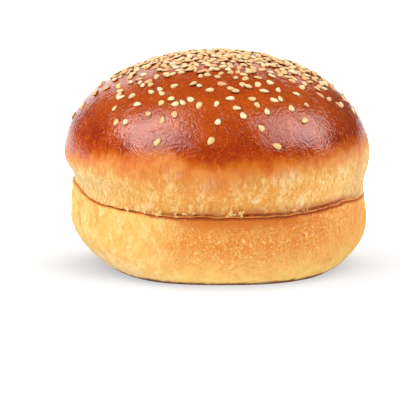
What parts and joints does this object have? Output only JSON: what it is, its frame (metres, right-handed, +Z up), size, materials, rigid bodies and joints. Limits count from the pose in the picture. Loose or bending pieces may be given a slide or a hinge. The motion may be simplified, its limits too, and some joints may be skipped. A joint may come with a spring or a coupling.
{
  "type": "sesame burger bun",
  "caption": "Round burger bun with a glossy brown domed crown, scattered sesame seeds and a pale matte heel, sliced through and set back together.",
  "frame": {"origin": "middle of the heel's foot, on the surface that the bun stands on", "axes": "+Z up through the crown, and -Y towards the side that the picture shows"},
  "size_m": [0.1087, 0.1076, 0.075],
  "materials": {
    "crown_crust": "egg-glazed brown bread crust, glossy above and matte and golden round its wall",
    "heel_crust": "unglazed golden bread crust, matte",
    "sesame_seed": "toasted hulled sesame, satin"
  },
  "bodies": {
    "root": {"crown": "crown_crust", "heel": "heel_crust"}
  },
  "joints": []
}
